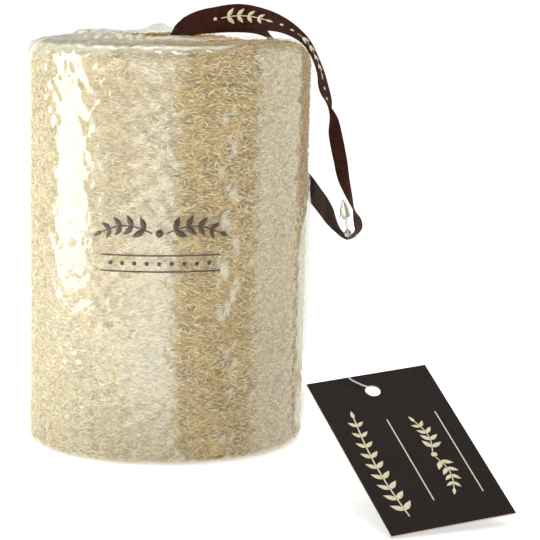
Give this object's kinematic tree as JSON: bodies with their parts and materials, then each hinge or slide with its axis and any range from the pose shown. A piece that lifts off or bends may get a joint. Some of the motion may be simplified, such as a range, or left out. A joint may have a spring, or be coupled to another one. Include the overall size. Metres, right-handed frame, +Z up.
{
  "type": "natural loofah sponge",
  "caption": "Upright cut of dried loofah with raised fibre net and seed chambers, in clear shrink film, with a satin hanging ribbon and a card swing tag.",
  "frame": {"origin": "middle of the foot the loofah stands on", "axes": "+Z up along the loofah's length, -Y towards the viewer, +X to the side the ribbon hangs on"},
  "size_m": [0.1671, 0.2044, 0.1635],
  "materials": {
    "fibre": "dried and bleached plant fibre, matt",
    "film": "clear glossy shrink film",
    "satin": "woven satin, dark brown",
    "nylon": "clear moulded nylon",
    "card": "smooth dark brown printed card"
  },
  "bodies": {
    "root": {"loofah": "fibre", "film_wrap": "film", "ribbon": "satin", "loop_lock": "nylon", "tag_loop": "nylon", "swing_tag": "card"}
  },
  "joints": []
}
